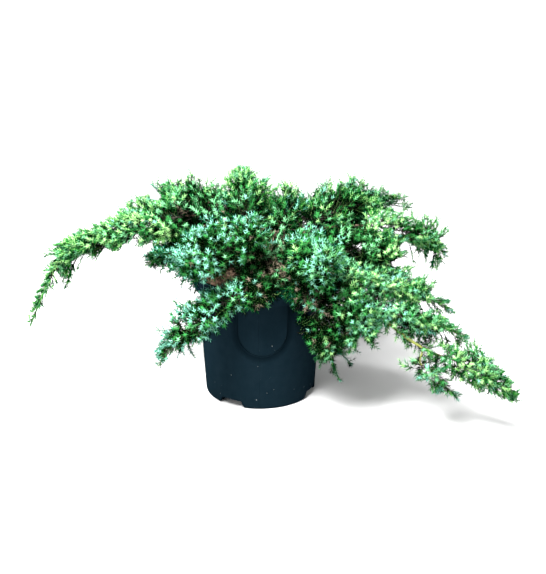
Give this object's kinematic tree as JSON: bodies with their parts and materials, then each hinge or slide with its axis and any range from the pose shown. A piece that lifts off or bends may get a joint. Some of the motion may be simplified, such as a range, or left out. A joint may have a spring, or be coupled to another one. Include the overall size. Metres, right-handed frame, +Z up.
{
  "type": "potted flaky juniper",
  "caption": "Low spreading evergreen shrub with arching, needle-covered boughs, growing in a round black nursery pot with a wide rim.",
  "frame": {"origin": "middle of the pot's flat underside", "axes": "+Z up, -Y towards the plant's front, +X towards the longest arm of foliage"},
  "size_m": [0.8787, 0.5261, 0.4269],
  "materials": {
    "pot": "moulded black plastic, faintly blue, satin, lightly scuffed",
    "soil": "composted bark mix with fallen brown needles",
    "bark": "thin flaking brown bark, yellow-green on young shoots",
    "foliage": "short awl-shaped needles, blue-green with pale bands, fresh green at the tips"
  },
  "bodies": {
    "root": {"pot": "pot", "soil": "soil", "stem": "bark", "bough_back_left": "bark", "bough_back_mid": "bark", "bough_back_right": "bark", "bough_back_skirt_left": "bark", "bough_back_skirt_mid": "bark", "bough_back_skirt_right": "bark", "bough_front_centre": "bark", "bough_front_low": "bark", "bough_front_right": "bark", "bough_inner_front": "bark", "bough_left_arm": "bark", "bough_left_front": "bark", "bough_left_low": "bark", "bough_left_tip": "bark", "bough_left_top": "bark", "bough_peak": "bark", "bough_right_arm": "bark", "bough_right_hang": "bark", "bough_right_mid": "bark", "bough_right_middle": "bark", "bough_right_top_arm": "bark", "bough_right_upper": "bark", "bough_skirt_left": "bark", "bough_skirt_mid": "bark", "bough_skirt_right": "bark", "bough_top_mid": "bark", "bough_top_right": "bark", "foliage_back_left": "foliage", "foliage_back_mid": "foliage", "foliage_back_right": "foliage", "foliage_back_skirt_left": "foliage", "foliage_back_skirt_mid": "foliage", "foliage_back_skirt_right": "foliage", "foliage_front_centre": "foliage", "foliage_front_low": "foliage", "foliage_front_right": "foliage", "foliage_inner_front": "foliage", "foliage_left_arm": "foliage", "foliage_left_front": "foliage", "foliage_left_low": "foliage", "foliage_left_tip": "foliage", "foliage_left_top": "foliage", "foliage_peak": "foliage", "foliage_right_arm": "foliage", "foliage_right_hang": "foliage", "foliage_right_mid": "foliage", "foliage_right_middle": "foliage", "foliage_right_top_arm": "foliage", "foliage_right_upper": "foliage", "foliage_skirt_left": "foliage", "foliage_skirt_mid": "foliage", "foliage_skirt_right": "foliage", "foliage_top_mid": "foliage", "foliage_top_right": "foliage"}
  },
  "joints": []
}
